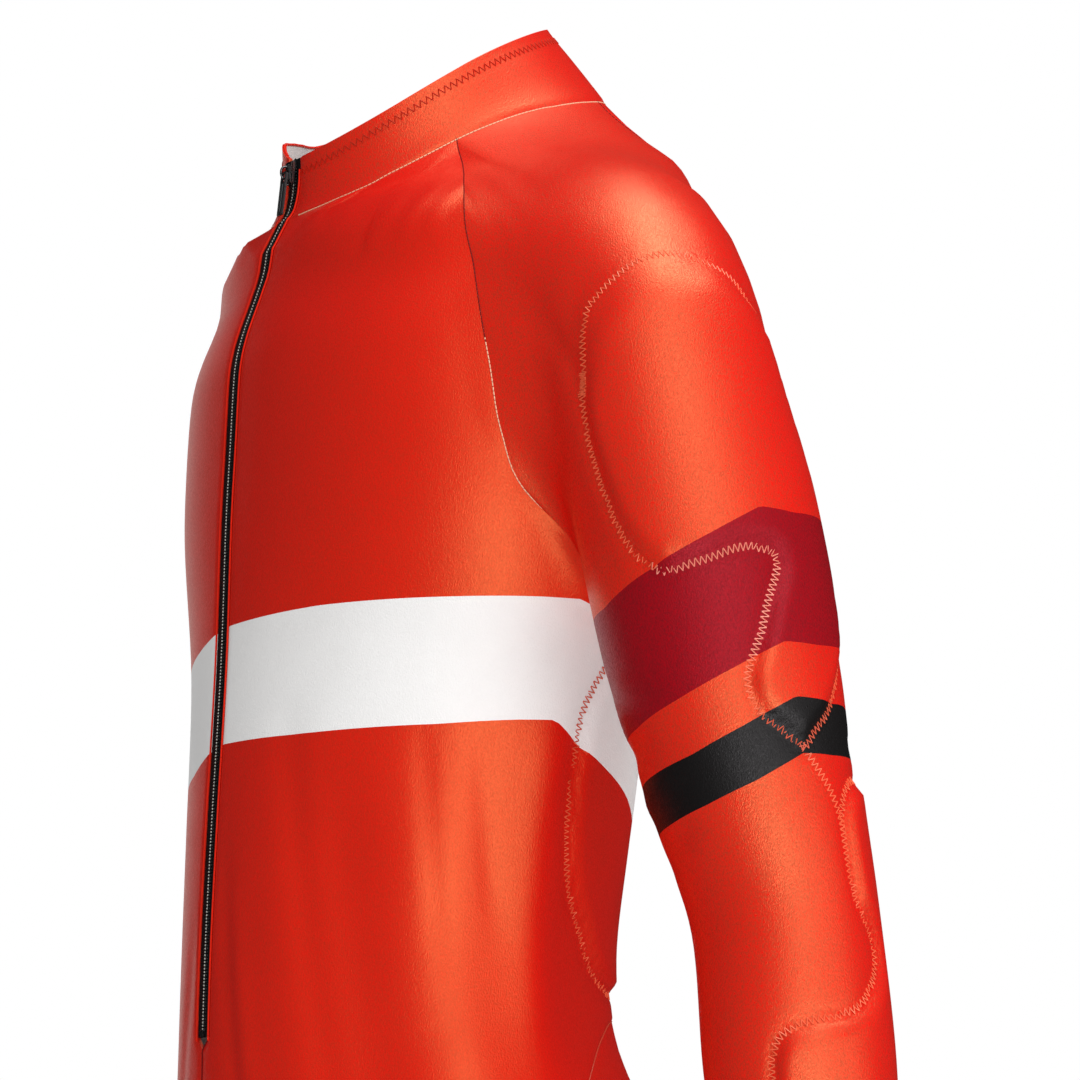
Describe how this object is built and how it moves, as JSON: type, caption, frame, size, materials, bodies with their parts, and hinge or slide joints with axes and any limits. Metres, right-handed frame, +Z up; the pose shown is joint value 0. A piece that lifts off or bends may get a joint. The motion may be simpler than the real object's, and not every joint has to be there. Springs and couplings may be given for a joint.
{
  "type": "ski race suit",
  "caption": "One-piece padded ski race suit with raglan sleeves, a stand-up collar and a front zip with a hinged pull tab, worn and hollow.",
  "frame": {"origin": "middle of the neck, where the wearer carries the suit", "axes": "+Z up, -Y out of the suit's front, +X towards the wearer's left"},
  "size_m": [0.5908, 0.2752, 1.512],
  "materials": {
    "knit": "satin",
    "tape": "matt",
    "coil": "satin",
    "metal": "gloss"
  },
  "bodies": {
    "suit": {"back": "knit", "collar": "knit", "front_left": "knit", "front_right": "knit", "leg_left": "knit", "leg_right": "knit", "sleeve_left": "knit", "sleeve_right": "knit", "zip_chain": "coil", "zip_slider": "metal", "zip_stop_bottom": "metal", "zip_tape_left": "tape", "zip_tape_right": "tape"},
    "pull": {"zip_pull": "metal"}
  },
  "joints": [
    {"name": "pull_hinge", "type": "hinge", "parent": "suit", "child": "pull", "pos_m": [0, -0.09785, -0.01502], "axis": [-1, 0, 0], "range_deg": [0, 165]}
  ]
}
